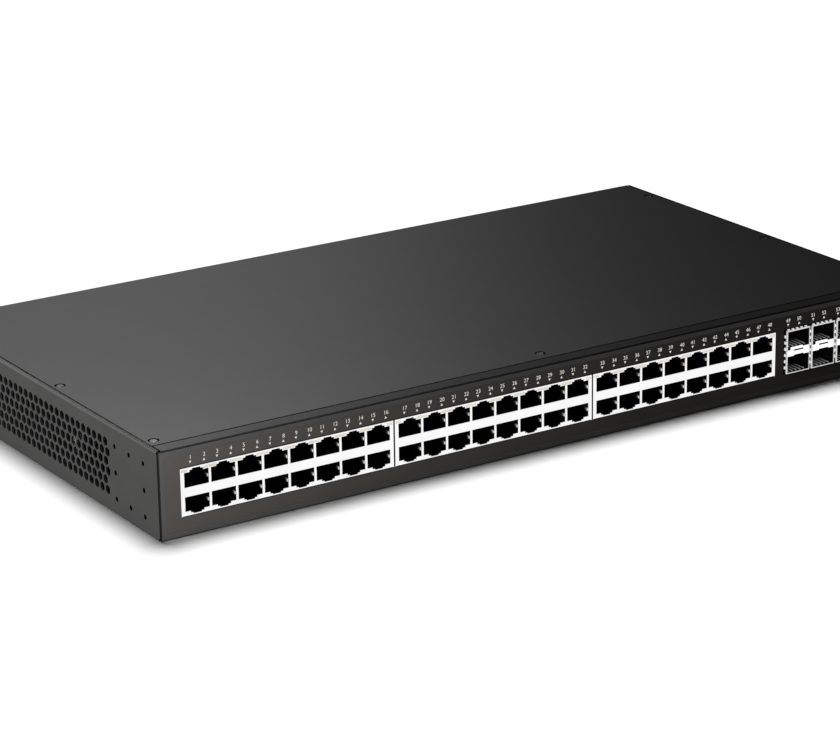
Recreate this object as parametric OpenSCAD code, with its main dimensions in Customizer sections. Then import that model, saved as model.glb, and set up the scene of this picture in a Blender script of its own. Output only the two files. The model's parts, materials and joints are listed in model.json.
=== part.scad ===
// Rackmount network switch, one unit high, with 48 copper ports and 6 optical bays.
// Millimetres. X runs along the front, -Y is the front, +Z is up, and the origin is
// the middle of the underside.

/* [Case] */
// Width of the case over its side walls
case_w = 440; // [438:0.5:444]
// Depth of the case from the front face to the rear face
case_d = 240; // [238:1:250]
// Height of the case
case_h = 43; // [42.8:0.1:43.6]
// Thickness of the sheet steel
sheet_t = 1; // [0.9:0.05:1]
// Depth of the strip between the front face and the cover's seam
strip_d = 8.5; // [8:0.25:9.5]
// Width of the open seam round the cover
seam = 0.9; // [0.7:0.05:1]
// Radius of the bend along the top of each side wall
bend_r = 1.5; // [1:0.25:1.5]

/* [Front] */
// Thickness of the painted faceplate
face_t = 0.8; // [0.8:0.05:0.9]
// Painted rim left bare round the printed overlay
rim = 3.2; // [2.8:0.1:3.4]
// Thickness of the printed overlay
overlay_t = 0.25; // [0.2:0.05:0.3]

/* [Copper ports] */
// Left side wall to the first jack block
jacks_from_left = 11.1; // [10.8:0.1:11.4]
// Pitch of the jack blocks, each with two rows of ports
block_pitch = 114.4; // [114.3:0.05:114.5]
// Height of a jack block above the board
block_h = 23.2; // [23.1:0.05:23.3]
// Depth of a jack block
block_d = 23.5; // [22:0.5:24]
// Pitch of the ports in a row
port_pitch = 13.85; // [13.8:0.01:13.9]
// Width of a port's mouth
port_w = 12.7; // [12.6:0.05:12.8]
// Depth of a port
port_d = 12.5; // [12:0.1:12.5]

/* [Optical bays] */
// Left side wall to the first cage
cages_from_left = 359.5; // [359.3:0.1:360]
// Pitch of the cages, each with a lower and an upper bay
cage_pitch = 16.3; // [16.3:0.05:16.5]
// Width of a cage
cage_w = 14.6; // [14.55:0.05:14.65]
// Height of a cage
cage_h = 22.5; // [22.45:0.05:22.6]
// How far a cage stands out of the front face
cage_proud = 2; // [2:0.1:2]
// Length of a cage
cage_d = 48; // [46:1:50]

/* [Vents and ear holes] */
// Pitch of the hexagonal vents along a row
vent_pitch = 5.5; // [5.4:0.05:5.6]
// Height from one row of vents to the next
vent_row = 4.75; // [4.7:0.05:4.8]
// Width of a vent across its flats
vent_flats = 4.1; // [3.8:0.1:4.1]
// Vents in each row of the left wall
vent_count = 25; // [10:1:26]
// Radius of the threaded holes that take the rack ears
ear_hole_r = 1.25; // [1.2:0.05:1.3]

/* [Hidden] */
$fn = 48;

paint = [0.20, 0.21, 0.21];
bare_metal = [0.80, 0.80, 0.82];
black_plastic = [0.05, 0.05, 0.05];
board_green = [0.08, 0.28, 0.16];
screw_black = [0.09, 0.09, 0.10];

// Planes of the case
left_x = -case_w / 2;
right_x = case_w / 2;
front_y = -case_d / 2;
rear_y = case_d / 2;
inner_x = right_x - sheet_t;
frame_y = front_y + face_t;
frame_back_y = frame_y + sheet_t;
lid_z = case_h - sheet_t;
hair = 0.05;

// Boards
standoff_h = 6.8;
board_t = 1.6;
board_z = sheet_t + standoff_h;
board_top = board_z + board_t;
board_x = 211;
board_y0 = frame_back_y + 0.2;
board_y1 = 8;
board_holes = [for (x = [-200, -70, 60, 190], y = [-88, 2]) [x, y]];
power_x0 = 20;
power_x1 = 130;
power_y0 = 22;
power_y1 = 112;
power_inset = 5;
power_holes = [for (x = [power_x0 + power_inset, power_x1 - power_inset],
                    y = [power_y0 + power_inset, power_y1 - power_inset]) [x, y]];

// Screws: thread radius, the hole that holds it, and the countersunk head
thread_r = 1.2;
tapped_r = 1.25;
head_r = 2.65;
head_low_r = 1.5;
sink_gap = 0.12;

// Cover screws, as distances from the front face
screw_rows = [15.5, 109, 214];
screw_inset = 6.5;
middle_screw_d = 16.5;
side_screws = [for (s = [-1, 1], d = screw_rows) [s * (right_x - screw_inset), front_y + d]];
middle_screw = [0, front_y + middle_screw_d];
cover_screw_places = concat(side_screws, [middle_screw]);
tab_w = 12;
tab_l = 14;

// Jack blocks
ports_in_row = 8;
blocks = 3;
block_gap = 0.9;
block_w = block_pitch - block_gap;
jack_y = front_y + 0.1;
shield_t = 0.25;
shield_foot = 0.3;
jacks_x0 = left_x + jacks_from_left;
end_wall = (block_w - (ports_in_row - 1) * port_pitch) / 2;
low_mouth = [2.3, 9.3];
high_mouth = [13.8, 21.0];
step_wide = 7.0;
step_narrow = 4.4;
low_step = [1.4, 0.8];
high_step = [21.9, 22.6];
window_w = 6.4;
window_z = [21.3, 22.5];
window_end_w = 3.0;
window_end_inset = 0.5;
joint = 0.05;
contacts_per_port = 8;
contact_pitch = 1.02;
contact_w = 0.4;
contact_t = 0.3;
contact_rise = 1.9;

// Optical cages
cages = 3;
cage_t = 0.3;
cage_y = front_y - cage_proud;
cage_lift = 0.55;
cage_z = board_top + cage_lift;
cages_x0 = left_x + cages_from_left;
bay_h = 8.55;
low_bay = [cage_t, cage_t + bay_h];
high_bay = [cage_h - cage_t - bay_h, cage_h - cage_t];

// Openings in the front
window_gap = 0.25;
jack_window = [[jacks_x0 - window_gap, board_top - 0.15],
               [jacks_x0 + blocks * block_pitch, board_top + block_h + 0.6]];
cage_room = 0.75;
sfp_window = [[cages_x0 - cage_room, cage_z - cage_room],
              [cages_x0 + (cages - 1) * cage_pitch + cage_w + cage_room,
               cage_z + cage_h + cage_room]];

// Status lights and the reset button
lights_x = [for (k = [0 : 3]) right_x - 26 + 5 * k];
lights_z = 24;
light_r = 1;
reset_x = right_x - 18.5;
reset_z = board_top + 4;
reset_hole_r = 1.5;
reset_r = 1.2;

// Vents of the left wall, as distances from the front face, and the rows' shifts in pitches
vents_from_front = 51.3;
vent_shift = [0, -0.33, 0, -0.33, 0.24, -0.09];
vent_rows = 6;

// Holes for the rack ears, as distances from the front face and from the underside
ear_columns = [14.5, 28.3, 42.1];
ear_middle_z = 20.5;
ear_spacing_z = 12.9;

// Side fans
fan_size = 40;
fan_t = 20;
fan_bore_r = 18.6;
fan_gap = 0.1;
fan_x = inner_x - fan_gap - fan_t / 2;
fan_ys = [20, 63];
fan_z = case_h / 2;
fan_hole = 16;
fan_blades = 7;
hub_r = 11.5;
cup_r = 10.4;
shaft_r = 1;
shaft_bore_r = 1.05;

// Power inlet and earth screw on the rear wall
inlet_x = 160;
inlet_z = 21;
inlet_flange = [50, 24, 2];
inlet_body = [27, 19.5];
inlet_recess = [24.6, 16.2];
inlet_depth = 17;
inlet_screw_x = 20;
pin_w = 2;
pin_h = 4;
pin_l = 12.5;
earth_x = 100;
earth_z = 20;
earth_head_r = 3.5;
earth_hole_r = 2.05;

// ---- Helpers ----

module block(low, high) {
    translate(low) cube(high - low);
}

// Extrudes a shape drawn in X and Z along Y
module along_y(y0, y1) {
    translate([0, y1, 0]) rotate([90, 0, 0]) linear_extrude(y1 - y0) children();
}

// Extrudes a shape drawn in Y and Z along X
module along_x(x0, x1) {
    translate([x0, 0, 0]) rotate([90, 0, 90]) linear_extrude(x1 - x0) children();
}

module rectangle(low, high) {
    translate(low) square(high - low);
}

module rounded_rectangle(low, high, r) {
    rectangle(low + [r, 0], high - [r, 0]);
    rectangle(low + [0, r], high - [0, r]);
    for (x = [low[0] + r, high[0] - r], z = [low[1] + r, high[1] - r])
        translate([x, z]) circle(r);
}

// Countersunk screw with a cross recess, head up at z = 0
module flat_screw(length, head_h = sheet_t) {
    difference() {
        union() {
            translate([0, 0, -head_h]) cylinder(h = head_h, r1 = head_low_r, r2 = head_r);
            translate([0, 0, -length]) cylinder(h = length, r = thread_r);
        }
        for (a = [0, 90])
            rotate(a) translate([-1.5, -0.3, -0.6]) cube([3, 0.6, 1]);
    }
}

// The hole a flat screw's head sits in, through a plate whose face is z = 0
module flat_screw_hole(head_h = sheet_t) {
    translate([0, 0, -head_h - hair])
        cylinder(h = head_h + 2 * hair, r1 = head_low_r + sink_gap, r2 = head_r + sink_gap);
}

module pan_screw(length, r = thread_r, cap_r = 2.8, cap_h = 1.6) {
    difference() {
        union() {
            cylinder(h = cap_h, r = cap_r);
            translate([0, 0, -length]) cylinder(h = length + cap_h / 2, r = r);
        }
        for (a = [0, 90])
            rotate(a) translate([-1.6, -0.35, cap_h - 0.8]) cube([3.2, 0.7, 1]);
    }
}

// One vent, drawn flat with its points up and down
module vent() {
    rotate(30) circle(r = vent_flats / sqrt(3), $fn = 6);
}

module vent_field() {
    middle = case_h / 2 + (vent_rows - 1) * vent_row / 2;
    for (row = [0 : vent_rows - 1], k = [0 : vent_count - 1])
        translate([front_y + vents_from_front + (k + vent_shift[row]) * vent_pitch,
                   middle - row * vent_row])
            vent();
}

module fan_grille(y) {
    step_z = vent_pitch * sqrt(3) / 2;
    for (row = [-3 : 3], k = [-4 : 4]) {
        dy = (k + (row % 2 == 0 ? 0 : 0.5)) * vent_pitch;
        if (norm([dy, row * step_z]) < fan_bore_r - vent_flats / 2)
            translate([y + dy, fan_z + row * step_z]) vent();
    }
}

// ---- Case ----

module chassis_base() {
    color(paint) difference() {
        union() {
            block([-inner_x, frame_back_y, 0], [inner_x, rear_y, sheet_t]);
            block([-inner_x, rear_y - sheet_t, 0], [inner_x, rear_y, lid_z]);
            block([-190, rear_y - 8, lid_z - sheet_t], [190, rear_y, lid_z]);
        }
        along_y(rear_y - 2, rear_y + 1)
            rectangle([inlet_x, inlet_z] - inlet_body / 2 - [0.25, 0.25],
                      [inlet_x, inlet_z] + inlet_body / 2 + [0.25, 0.25]);
        for (s = [-1, 1])
            translate([inlet_x + s * inlet_screw_x, rear_y + 1, inlet_z])
                rotate([90, 0, 0]) cylinder(h = 3, r = tapped_r);
        translate([earth_x, rear_y + 1, earth_z]) rotate([90, 0, 0]) cylinder(h = 3, r = earth_hole_r);
        for (p = rivet_places)
            translate([p[0], p[1], -1]) cylinder(h = 3, r = rivet_hole_r);
    }
}

// The case is riveted up through flanges that lie on the base
rivet_r = 1.45;
rivet_hole_r = 1.5;
flange_w = 10;
flange_runs = [[12, 112], [208, 232]];
rivet_rows = [30, 90, 220];
front_rivets_x = [-180, -60, 60, 180];
front_flange_d = 6;
rivet_places = concat(
    [for (s = [-1, 1], d = rivet_rows) [s * (inner_x - flange_w / 2), front_y + d]],
    [for (x = front_rivets_x) [x, frame_back_y + front_flange_d / 2]]);

// Outline of a side wall seen from the front, with the bend along its top
module wall_outline() {
    rim_w = bend_r + 0.1;
    rectangle([left_x, 0], [left_x + sheet_t, case_h - bend_r]);
    difference() {
        union() {
            rectangle([left_x, case_h - bend_r - 0.5], [left_x + sheet_t, case_h]);
            rectangle([left_x, lid_z], [left_x + rim_w, case_h]);
        }
        difference() {
            rectangle([left_x - 1, case_h - bend_r], [left_x + bend_r, case_h + 1]);
            translate([left_x + bend_r, case_h - bend_r]) circle(bend_r);
        }
    }
}

module side_wall() {
    notch = 1.2;
    difference() {
        union() {
            along_y(frame_y, rear_y) wall_outline();
            for (run = flange_runs)
                block([left_x + hair, front_y + run[0], sheet_t],
                      [left_x + sheet_t + flange_w, front_y + run[1], 2 * sheet_t]);
            for (d = screw_rows)
                block([left_x + sheet_t / 2, front_y + d - tab_l / 2, lid_z - sheet_t],
                      [left_x + sheet_t + tab_w, front_y + d + tab_l / 2, lid_z]);
        }
        for (z = [-1, case_h - notch])
            block([left_x - 1, frame_y - 1, z], [left_x + 3, frame_y + notch, z + notch + 1]);
        for (k = [0 : 2], j = [-1 : 1])
            if (k != 1 || j != 0)
                translate([left_x - 1, front_y + ear_columns[k], ear_middle_z + j * ear_spacing_z])
                    rotate([0, 90, 0]) cylinder(h = 3, r = ear_hole_r);
        for (d = screw_rows)
            translate([left_x + screw_inset, front_y + d, lid_z - 3]) cylinder(h = 4, r = tapped_r);
        for (d = rivet_rows)
            translate([-inner_x + flange_w / 2, front_y + d, 0]) cylinder(h = 4, r = rivet_hole_r);
    }
}

module left_side_wall() {
    color(paint) difference() {
        side_wall();
        along_x(left_x - 1, left_x + 2) vent_field();
    }
}

module right_side_wall() {
    color(paint) difference() {
        mirror([1, 0, 0]) side_wall();
        for (y = fan_ys) {
            along_x(right_x - 2, right_x + 1) fan_grille(y);
            for (dy = [-1, 1], dz = [-1, 1])
                translate([right_x, y + dy * fan_hole, fan_z + dz * fan_hole])
                    rotate([0, 90, 0]) flat_screw_hole();
        }
    }
}

module front_windows() {
    rectangle(jack_window[0], jack_window[1]);
    rectangle(sfp_window[0], sfp_window[1]);
    for (x = lights_x)
        translate([x, lights_z]) circle(light_r + hair);
    translate([reset_x, reset_z]) circle(reset_hole_r);
}

module front_frame() {
    ledge_y = front_y + strip_d;
    color(paint) difference() {
        union() {
            along_y(frame_y, frame_back_y) rectangle([-inner_x, 0], [inner_x, case_h]);
            block([-inner_x + bend_r, frame_y, lid_z], [inner_x - bend_r, ledge_y, case_h]);
            block([-200, ledge_y - 2.5, lid_z - sheet_t], [200, ledge_y + 12, lid_z]);
            block([-200, frame_y, sheet_t], [200, frame_back_y + front_flange_d, 2 * sheet_t]);
        }
        along_y(frame_y - 1, frame_back_y + 1) front_windows();
        for (s = [-1, 1])
            translate([s * (inner_x - bend_r / 2 + 0.5), frame_y, case_h])
                cube([bend_r + 1, 4, 2 * bend_r], center = true);
        translate([middle_screw[0], middle_screw[1], lid_z - 3]) cylinder(h = 4, r = tapped_r);
        for (x = front_rivets_x)
            translate([x, frame_back_y + front_flange_d / 2, 0]) cylinder(h = 4, r = rivet_hole_r);
    }
}

module faceplate() {
    edge = 0.1;
    groove = 0.5;
    groove_w = 0.3;
    color([0.19, 0.19, 0.18]) difference() {
        union() {
            along_y(front_y, frame_y - groove_w)
                rectangle([left_x + edge, edge], [right_x - edge, case_h - edge]);
            along_y(frame_y - groove_w, frame_y)
                rectangle([left_x + edge + groove, edge + groove],
                          [right_x - edge - groove, case_h - edge - groove]);
        }
        along_y(front_y - 1, front_y + overlay_t)
            rounded_rectangle([left_x + rim - hair, rim - hair],
                              [right_x - rim + hair, case_h - rim + 0.3 + hair], 1.5);
        along_y(front_y - 1, frame_y + 1) front_windows();
    }
}

module front_overlay() {
    color([0.16, 0.14, 0.13]) along_y(front_y, front_y + overlay_t) difference() {
        rounded_rectangle([left_x + rim, rim], [right_x - rim, case_h - rim + 0.3], 1.5);
        front_windows();
    }
}

module top_cover() {
    side = right_x - bend_r - 0.1 - seam;
    color(paint) difference() {
        block([-side, front_y + strip_d + seam, lid_z], [side, rear_y, case_h]);
        for (p = cover_screw_places)
            translate([p[0], p[1], case_h]) flat_screw_hole();
    }
}

module cover_screws() {
    color(screw_black) for (p = cover_screw_places)
        translate([p[0], p[1], case_h]) flat_screw(4.5);
}

module chassis_rivets() {
    color(bare_metal) for (p = rivet_places)
        translate([p[0], p[1], 0]) {
            cylinder(h = 2 * sheet_t + 0.4, r = rivet_r);
            translate([0, 0, 2 * sheet_t]) cylinder(h = 0.8, r = 2.6);
        }
}

// ---- Copper ports ----

// Outline of one mouth: a wide opening with a stepped slot for the plug's latch
module mouth(opening, steps) {
    rectangle([-port_w / 2, opening[0]], [port_w / 2, opening[1]]);
    for (s = [[step_wide, steps[0]], [step_narrow, steps[1]]])
        rectangle([-s[0] / 2, min(s[1], opening[0] + 1)], [s[0] / 2, max(s[1], opening[1] - 1)]);
}

// Both mouths of every column of a block, measured from the block's left foot
module block_mouths() {
    for (k = [0 : ports_in_row - 1])
        translate([end_wall + k * port_pitch, 0]) {
            mouth(low_mouth, low_step);
            mouth(high_mouth, high_step);
        }
}

// Windows of the light pipes: one over each divider, and a half one at each end
module light_windows(gap) {
    for (k = [1 : ports_in_row - 1])
        rectangle([end_wall + (k - 0.5) * port_pitch - window_w / 2 - gap, window_z[0] - gap],
                  [end_wall + (k - 0.5) * port_pitch + window_w / 2 + gap, window_z[1] + gap]);
    for (x = [window_end_inset, block_w - window_end_inset - window_end_w])
        rectangle([x - gap, window_z[0] - gap], [x + window_end_w + gap, window_z[1] + gap]);
}

module at_block(n) {
    translate([jacks_x0 + (n - 1) * block_pitch, 0, board_top]) children();
}

// Joints of the housing: its rear block, its three plates and the dividers between the ports
// are separate mouldings, a hair apart
module housing_joints() {
    port_end = jack_y + shield_t + port_d;
    block([-1, port_end, -1], [block_w + 1, port_end + joint, block_h + 1]);
    for (z = [low_mouth[0], low_mouth[1] - joint, high_mouth[0], high_mouth[1] - joint])
        block([-1, jack_y, z], [block_w + 1, port_end + joint, z + joint]);
}

module jack_housing(n) {
    skin = shield_t + 0.02;
    color(black_plastic) at_block(n) difference() {
        block([skin, jack_y + shield_t, 0], [block_w - skin, jack_y + block_d, block_h - skin]);
        along_y(jack_y, jack_y + shield_t + port_d) block_mouths();
        along_y(jack_y, jack_y + block_d + 1) light_windows(0.03);
        housing_joints();
    }
}

module jack_shield(n) {
    color(bare_metal) at_block(n) {
        along_y(jack_y, jack_y + shield_t) difference() {
            rectangle([0, shield_foot], [block_w, block_h]);
            block_mouths();
            light_windows(0.03);
        }
        along_y(jack_y, jack_y + block_d) difference() {
            rectangle([0, 0], [block_w, block_h]);
            rectangle([shield_t, -1], [block_w - shield_t, block_h - shield_t]);
        }
    }
}

// One spring wire: a leg along the wall of the port, folded back at the front
module contact_outline() {
    back_y = jack_y + shield_t + port_d;
    fold_y = jack_y + 2.6;
    tip_y = back_y - 2;
    polygon([[back_y, 0], [fold_y, 0], [fold_y, contact_t / 2], [tip_y, contact_rise],
             [tip_y, contact_rise - contact_t], [fold_y + 1.5, contact_t], [back_y, contact_t]]);
}

module jack_contacts(n) {
    color([0.85, 0.68, 0.30]) at_block(n)
        for (k = [0 : ports_in_row - 1], w = [0 : contacts_per_port - 1]) {
            x = end_wall + k * port_pitch + (w - (contacts_per_port - 1) / 2) * contact_pitch;
            translate([0, 0, high_mouth[0]])
                along_x(x - contact_w / 2, x + contact_w / 2) contact_outline();
            translate([0, 0, low_mouth[1]]) mirror([0, 0, 1])
                along_x(x - contact_w / 2, x + contact_w / 2) contact_outline();
        }
}

module jack_light_pipes(n) {
    leg_y = jack_y + block_d + 0.1;
    leg_w = 2;
    color([0.85, 0.82, 0.75]) at_block(n) {
        along_y(jack_y, leg_y + 1.3) light_windows(0);
        for (k = [0 : ports_in_row])
            translate([k == 0 ? window_end_inset : k == ports_in_row
                       ? block_w - window_end_inset - leg_w
                       : end_wall + (k - 0.5) * port_pitch - leg_w / 2, 0, 0])
                block([0, leg_y, 1.2], [leg_w, leg_y + 1.3, window_z[1]]);
    }
}

// ---- Optical bays ----

module at_cage(n) {
    translate([cages_x0 + (n - 1) * cage_pitch + cage_w / 2, cage_y, cage_z]) children();
}

// A cage stands on six feet
module sfp_cage(n) {
    foot_y = [8, 26, 44];
    foot_w = 2;
    color(bare_metal) at_cage(n) {
        difference() {
            block([-cage_w / 2, 0, 0], [cage_w / 2, cage_d, cage_h]);
            block([-cage_w / 2 + cage_t, -1, cage_t],
                  [cage_w / 2 - cage_t, cage_d - cage_t, cage_h - cage_t]);
        }
        for (y = foot_y) {
            block([-cage_w / 2, y, -cage_lift], [-cage_w / 2 + cage_t, y + foot_w, cage_t]);
            block([cage_w / 2 - cage_t, y, -cage_lift], [cage_w / 2, y + foot_w, cage_t]);
        }
    }
}

// Spacer between the two bays: a slot for the latch lights, stepped corners and a notch below
module sfp_divider(n) {
    half = cage_w / 2 - cage_t;
    slot_x = [-2.6, 3.6];
    slot_z = [high_bay[0] - 2.3, high_bay[0] - 1.5];
    step_d = 1.2;
    color([0.92, 0.92, 0.92]) at_cage(n) difference() {
        block([-half, 0.4, low_bay[1]], [half, cage_d - cage_t, high_bay[0]]);
        block([slot_x[0], -1, slot_z[0]], [slot_x[1], 6, slot_z[1]]);
        block([-half - 1, -1, high_bay[0] - 1.5], [-half + 2.2, step_d, high_bay[0] + 1]);
        block([3, -1, high_bay[0] - 0.6], [half + 1, step_d, high_bay[0] + 1]);
        block([slot_x[0], -1, low_bay[1] - 1], [slot_x[1], step_d, low_bay[1] + 0.5]);
    }
}

// One leaf of the collar: it starts at the cage's lip and leans out to the faceplate
module leaf_outline() {
    polygon([[0.2, 0.03], [0.2, 0.18], [0.9, 0.18], [1.7, 0.62], [1.85, 0.48], [1, 0.03]]);
}

module sfp_spring_collar(n) {
    leaf_w = 1.5;
    band = 0.15;
    reach = 0.03 + band;
    across = [for (k = [-2 : 2]) k * 2.8];
    up = [for (k = [0 : 5]) cage_h / 2 + (k - 2.5) * 3.3];
    color(bare_metal) at_cage(n) {
        along_y(0.2, 1) difference() {
            rectangle([-cage_w / 2 - reach, -reach], [cage_w / 2 + reach, cage_h + reach]);
            rectangle([-cage_w / 2 - 0.03, -0.03], [cage_w / 2 + 0.03, cage_h + 0.03]);
        }
        for (x = across) {
            translate([0, 0, cage_h]) along_x(x - leaf_w / 2, x + leaf_w / 2) leaf_outline();
            mirror([0, 0, 1]) along_x(x - leaf_w / 2, x + leaf_w / 2) leaf_outline();
        }
        for (z = up, s = [-1, 1])
            translate([s * cage_w / 2, 0, z]) rotate([0, s * 90, 0])
                along_x(-leaf_w / 2, leaf_w / 2) leaf_outline();
    }
}

module sfp_connectors() {
    half = 6;
    color(black_plastic) for (n = [1 : cages], bay = [low_bay, high_bay])
        at_cage(n) translate([0, cage_d - cage_t - 10, bay[0]]) difference() {
            block([-half, 0, 0], [half, 10, 6]);
            block([-half + 1, -1, 2.4], [half - 1, 7, 3.8]);
        }
}

// ---- Main board ----

module main_board() {
    fan_room = 1;
    color(board_green) difference() {
        block([-board_x, board_y0, board_z], [board_x, board_y1, board_top]);
        block([fan_x - fan_t / 2 - fan_room, fan_ys[0] - fan_size / 2 - fan_room, board_z - 1],
              [board_x + 1, board_y1 + 1, board_top + 1]);
        for (p = board_holes)
            translate([p[0], p[1], board_z - 1]) cylinder(h = 4, r = 1.6);
    }
}

module board_standoffs() {
    color(bare_metal) for (p = concat(board_holes, power_holes))
        translate([p[0], p[1], sheet_t]) difference() {
            cylinder(h = standoff_h, r = 3);
            translate([0, 0, 1]) cylinder(h = standoff_h, r = tapped_r);
        }
}

module board_screws() {
    color(bare_metal) for (p = concat(board_holes, power_holes))
        translate([p[0], p[1], board_top]) pan_screw(6);
}

switch_at = [20, -45];
switch_chip_h = 2.4;

module switch_chip() {
    color(black_plastic) translate([switch_at[0], switch_at[1], board_top + switch_chip_h / 2])
        cube([35, 35, switch_chip_h], center = true);
}

module switch_heatsink() {
    size = 48;
    foot = 3;
    fins = 11;
    fin_t = 1.4;
    pitch = (size - fin_t) / (fins - 1);
    color([0.55, 0.56, 0.58])
        translate([switch_at[0] - size / 2, switch_at[1] - size / 2, board_top + switch_chip_h]) {
            cube([size, size, foot]);
            for (k = [0 : fins - 1])
                translate([k * pitch, 0, foot / 2]) cube([fin_t, size, 16]);
        }
}

module phy_chips() {
    color(black_plastic) for (k = [0 : 5])
        translate([jacks_x0 + (k + 0.5) * block_pitch / 2 - 7, -82, board_top]) cube([14, 14, 1.4]);
}

module board_capacitors() {
    color([0.25, 0.27, 0.32]) for (k = [0 : 7])
        translate([80 + 13 * k, -8, board_top]) cylinder(h = 11, r = 4);
}

module indicator_leds() {
    leg_y = jack_y + block_d + 0.1;
    color([0.95, 0.93, 0.85]) {
        for (n = [1 : blocks], k = [1 : ports_in_row - 1]) at_block(n)
            block([end_wall + (k - 0.5) * port_pitch - 1, leg_y, 0],
                  [end_wall + (k - 0.5) * port_pitch + 1, leg_y + 1.3, 0.8]);
        for (x = lights_x)
            block([x - light_leg_w / 2, light_leg_y, board_top],
                  [x + light_leg_w / 2, light_leg_y + light_leg_w, board_top + 0.8]);
    }
}

// Each rod ends in a leg that stands over its lamp, behind the reset switch
light_leg_y = front_y + 15;
light_leg_w = 1.9;

module status_light_pipes() {
    color([0.85, 0.86, 0.86]) for (x = lights_x) {
        translate([x, light_leg_y + 1, lights_z]) rotate([90, 0, 0])
            cylinder(h = light_leg_y + 1 - front_y - 0.05, r = light_r);
        block([x - light_leg_w / 2, light_leg_y, board_top + 1],
              [x + light_leg_w / 2, light_leg_y + light_leg_w, lights_z + 0.8]);
    }
}

// The reset button slides in the switch behind the front
switch_y = front_y + 7;

module reset_switch() {
    color(black_plastic) difference() {
        block([reset_x - 3, switch_y, board_top], [reset_x + 3, switch_y + 6, board_top + 7]);
        translate([reset_x, switch_y + 5, reset_z]) rotate([90, 0, 0]) cylinder(h = 6, r = reset_r + 0.08);
    }
}

module reset_button() {
    color([0.12, 0.12, 0.12]) translate([reset_x, front_y + 0.4, reset_z]) rotate([-90, 0, 0]) {
        cylinder(h = switch_y - front_y + 3, r = reset_r);
        translate([0, 0, 2.4]) cylinder(h = 1, r = 2.2);
    }
}

// ---- Power supply ----

module power_board() {
    color([0.55, 0.43, 0.20]) difference() {
        block([power_x0, power_y0, board_z], [power_x1, power_y1, board_top]);
        for (p = power_holes)
            translate([p[0], p[1], board_z - 1]) cylinder(h = 4, r = 1.6);
    }
}

module power_insulator() {
    color([0.88, 0.88, 0.82]) difference() {
        block([power_x0 - 2, power_y0 - 2, sheet_t], [power_x1 + 2, power_y1 + 2, sheet_t + 0.4]);
        for (p = power_holes)
            translate([p[0], p[1], 0]) cylinder(h = 4, r = 3.1);
    }
}

// Ferrite frame round a taped winding
module power_transformer() {
    window = [26, 18];
    color([0.30, 0.26, 0.16]) translate([75, 66, board_top]) {
        along_y(-6, 6) difference() {
            rectangle([-17, 0], [17, 27]);
            rectangle([-window[0] / 2, 4.5], [window[0] / 2, 4.5 + window[1]]);
        }
        translate([0, 0, 4.5]) cylinder(h = window[1], r = 11);
    }
}

module bulk_capacitor() {
    color([0.10, 0.10, 0.16]) translate([108, 60, board_top]) cylinder(h = 28, r = 11);
}

module power_heatsinks() {
    color([0.62, 0.63, 0.65]) for (x = [48, 122])
        block([x - 1.5, 38, board_top], [x + 1.5, 86, board_top + 26]);
}

module line_choke() {
    color([0.70, 0.40, 0.15]) translate([100, 92, board_top + 11]) rotate([90, 0, 0])
        rotate_extrude() translate([7.5, 0]) circle(3.4);
}

module output_capacitors() {
    color([0.15, 0.20, 0.35]) for (k = [0 : 3])
        translate([34, 46 + 12 * k, board_top]) cylinder(h = 20, r = 5);
}

// Three-pin appliance inlet, let in from behind the rear wall
module inlet_outline() {
    cut = 3.5;
    w = inlet_recess[0] / 2;
    h = inlet_recess[1] / 2;
    polygon([[-w, -h], [w, -h], [w, h - cut], [w - cut, h], [-w + cut, h], [-w, h - cut]]);
}

module inlet_pin_places() {
    for (p = [[-7, -2], [7, -2], [0, 2]])
        translate([inlet_x + p[0], 0, inlet_z + p[1]]) children();
}

module power_inlet() {
    mouth_y = rear_y + inlet_flange[2];
    color(black_plastic) difference() {
        union() {
            along_y(rear_y, mouth_y)
                rounded_rectangle([inlet_x, inlet_z] - [inlet_flange[0], inlet_flange[1]] / 2,
                                  [inlet_x, inlet_z] + [inlet_flange[0], inlet_flange[1]] / 2, 3);
            along_y(mouth_y - inlet_depth - 2, rear_y + 0.5)
                rectangle([inlet_x, inlet_z] - inlet_body / 2, [inlet_x, inlet_z] + inlet_body / 2);
        }
        along_y(mouth_y - inlet_depth, mouth_y + 1) translate([inlet_x, inlet_z]) inlet_outline();
        inlet_pin_places()
            block([-pin_w / 2 - hair, 80, -pin_h / 2 - hair], [pin_w / 2 + hair, 110, pin_h / 2 + hair]);
        for (s = [-1, 1])
            translate([inlet_x + s * inlet_screw_x, mouth_y, inlet_z])
                rotate([-90, 0, 0]) flat_screw_hole(inlet_flange[2]);
    }
}

module inlet_pins() {
    floor_y = rear_y + inlet_flange[2] - inlet_depth;
    color(bare_metal) inlet_pin_places()
        block([-pin_w / 2, floor_y - 7, -pin_h / 2], [pin_w / 2, floor_y + pin_l, pin_h / 2]);
}

module inlet_screws() {
    color(bare_metal) for (s = [-1, 1])
        translate([inlet_x + s * inlet_screw_x, rear_y + inlet_flange[2], inlet_z])
            rotate([-90, 0, 0]) flat_screw(7, inlet_flange[2]);
}

// Output wires arch from the power board to the main board, with a plug at each end
module power_harness() {
    harness_x = 40;
    wires = 6;
    wire_pitch = 2.4;
    arch_r = 12;
    arch_y = (board_y1 + power_y0) / 2;
    plug_h = 8;
    plug_w = wires * wire_pitch + 1;
    color([0.75, 0.15, 0.12]) translate([harness_x, arch_y, board_top]) {
        for (k = [0 : wires - 1])
            translate([(k - (wires - 1) / 2) * wire_pitch, 0, plug_h - 0.5]) rotate([90, 0, 90])
                rotate_extrude(angle = 180) translate([arch_r, 0]) circle(0.8);
        for (s = [-1, 1])
            translate([0, s * arch_r, plug_h / 2]) cube([plug_w, 5, plug_h], center = true);
    }
}

module ground_screw() {
    color([0.72, 0.66, 0.40]) translate([earth_x, rear_y, earth_z]) rotate([-90, 0, 0])
        pan_screw(7, r = 2, cap_r = earth_head_r, cap_h = cage_proud);
}

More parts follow.
